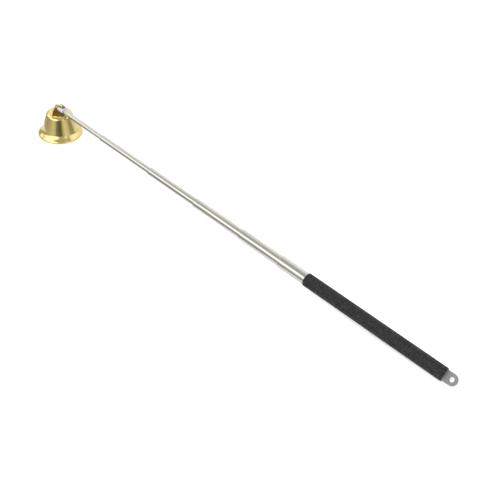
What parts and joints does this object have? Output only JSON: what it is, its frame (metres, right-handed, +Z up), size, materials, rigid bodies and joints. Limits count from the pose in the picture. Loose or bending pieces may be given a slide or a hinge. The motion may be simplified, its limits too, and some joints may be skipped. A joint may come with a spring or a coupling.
{
  "type": "candle snuffer",
  "caption": "Telescopic candle snuffer: a small brass bell hung by its strap from a riveted link on a sliding tube pole with a black grip sleeve and a flat hanging tab.",
  "frame": {"origin": "centre of the bell's mouth, on the table that the bell and the grip's rear edge lie on", "axes": "+X from the bell along the pole to the handle, seen from above; +Z up"},
  "size_m": [0.4028, 0.035, 0.0256],
  "materials": {
    "bell": "polished yellow brass",
    "link_steel": "bright steel",
    "pole": "polished warm nickel",
    "spring": "plain spring brass",
    "grip": "satin black, fine mottled grain",
    "cap": "plain black",
    "tab": "satin grey",
    "plug": "plain turned"
  },
  "bodies": {
    "handle": {"base_tube": "pole", "grip_sleeve": "grip", "end_plug": "cap", "hanging_tab": "tab", "tab_pin": "plug"},
    "section_5_spring": {"friction_spring_5": "spring"},
    "section_5": {"tube_5": "pole", "stop_collar_5": "spring"},
    "section_4": {"tube_4": "pole", "stop_collar_4": "spring", "friction_spring_4": "spring"},
    "section_3": {"tube_3": "pole", "stop_collar_3": "spring", "friction_spring_3": "spring"},
    "section_2": {"tube_2": "pole", "stop_collar_2": "spring", "friction_spring_2": "spring"},
    "section_1": {"tube_1": "pole", "stop_collar_1": "spring", "friction_spring_1": "spring", "tip_plug": "link_steel"},
    "link": {"link": "link_steel", "link_rivet": "link_steel"},
    "bell": {"bell": "bell"}
  },
  "joints": [
    {"name": "slide_5", "type": "slide", "parent": "handle", "child": "section_5_spring", "axis": [-0.9989, 0, 0.0459], "range_m": [-0.0347, 0.069]},
    {"name": "pole_turn", "type": "hinge", "parent": "section_5_spring", "child": "section_5", "pos_m": [0.0072, 0.0003, 0.0217], "axis": [0.9989, 0, -0.0459], "continuous": true},
    {"name": "slide_4", "type": "slide", "parent": "section_5", "child": "section_4", "axis": [-0.9989, 0, 0.0459], "range_m": [-0.0431, 0.0606]},
    {"name": "slide_3", "type": "slide", "parent": "section_4", "child": "section_3", "axis": [-0.9989, 0, 0.0459], "range_m": [-0.0452, 0.0585]},
    {"name": "slide_2", "type": "slide", "parent": "section_3", "child": "section_2", "axis": [-0.9989, 0, 0.0459], "range_m": [-0.0512, 0.0525]},
    {"name": "slide_1", "type": "slide", "parent": "section_2", "child": "section_1", "axis": [-0.9989, 0, 0.0459], "range_m": [-0.0419, 0.0618]},
    {"name": "link_tilt", "type": "hinge", "parent": "section_1", "child": "link", "pos_m": [0.0072, 0.0003, 0.0217], "axis": [0, 1, 0], "range_deg": [-3, 95]},
    {"name": "bell_turn", "type": "hinge", "parent": "link", "child": "bell", "pos_m": [0.00243, 0.00218, 0.0217], "axis": [0, 0, 1], "range_deg": [-60, 45]}
  ]
}
